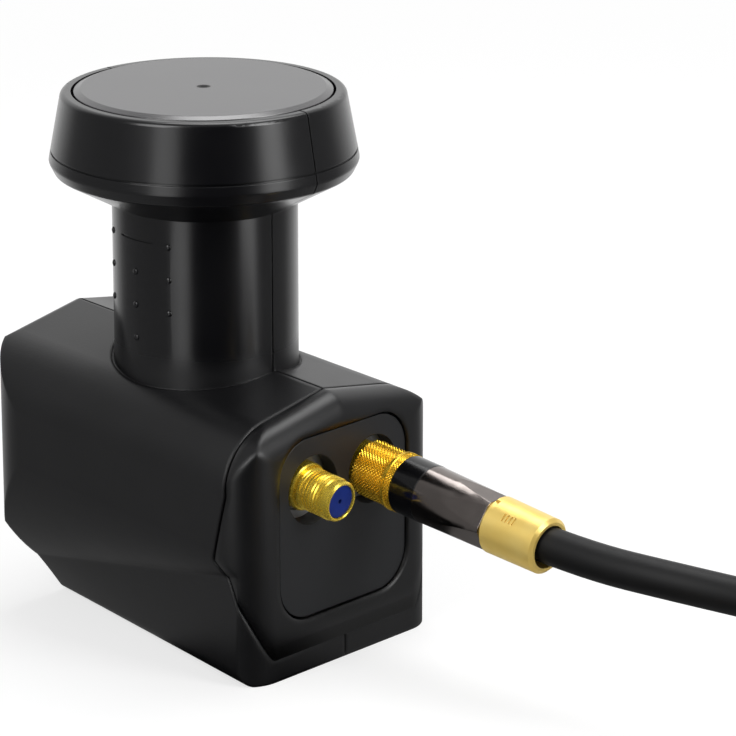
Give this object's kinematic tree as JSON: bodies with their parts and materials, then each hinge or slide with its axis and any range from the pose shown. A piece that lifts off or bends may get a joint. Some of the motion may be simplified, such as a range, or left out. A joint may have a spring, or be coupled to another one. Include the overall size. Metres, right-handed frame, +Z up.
{
  "type": "satellite dish receiver head",
  "caption": "Black satellite receiver head with a round feed cap on a clamp neck, a slide-out weather shield, threaded ports and a plugged-in coaxial lead laid in a coil.",
  "frame": {"origin": "on the flat foot of the body, on the axis of the neck", "axes": "+Z up the neck towards the feed cap, +X towards the ports, +Y towards the plugged port's side"},
  "size_m": [0.3016, 0.1051, 0.119],
  "materials": {
    "housing_plastic": "semi-gloss black moulding",
    "shield_plastic": "semi-gloss black moulding",
    "cover_plastic": "satin black moulding",
    "plate_plastic": "fine matt black",
    "seal_rubber": "matt",
    "cast_alloy": "as cast",
    "screw_steel": "zinc plated",
    "board_laminate": "satin",
    "probe_copper": "plain",
    "port_gold": "gold plated",
    "insulator_blue": "gloss blue",
    "contact_brass": "plain",
    "nut_gold": "gold plated, knurled",
    "band_plastic": "gloss black",
    "barrel_gunmetal": "polished gunmetal",
    "ferrule_gold": "pale gold plating",
    "pin_copper": "plain",
    "cable_jacket": "satin black",
    "tie_fabric": "woven black"
  },
  "bodies": {
    "head": {"left_housing": "housing_plastic", "right_housing": "housing_plastic", "feed_cover": "cover_plastic", "feed_seal": "seal_rubber", "horn_casting": "cast_alloy", "case_lid": "cast_alloy", "lid_screws": "screw_steel", "circuit_board": "board_laminate", "waveguide_probes": "probe_copper", "connector_plate": "plate_plastic", "cable": "cable_jacket", "cable_tail": "cable_jacket", "cable_coil": "cable_jacket", "coil_tie": "tie_fabric", "free_port_body": "port_gold", "free_port_insulator": "insulator_blue", "free_port_contact": "contact_brass", "used_port_body": "port_gold", "used_port_insulator": "insulator_blue", "used_port_contact": "contact_brass", "plug_nut": "nut_gold", "plug_band": "band_plastic", "plug_barrel": "barrel_gunmetal", "plug_ferrule": "ferrule_gold", "plug_pin": "pin_copper", "far_plug_nut": "nut_gold", "far_plug_band": "band_plastic", "far_plug_barrel": "barrel_gunmetal", "far_plug_ferrule": "ferrule_gold", "far_plug_pin": "pin_copper"},
    "shield": {"weather_shield": "shield_plastic"}
  },
  "joints": [
    {"name": "shield_slide", "type": "slide", "parent": "head", "child": "shield", "axis": [1, 0, 0], "range_m": [0, 0.022]}
  ]
}
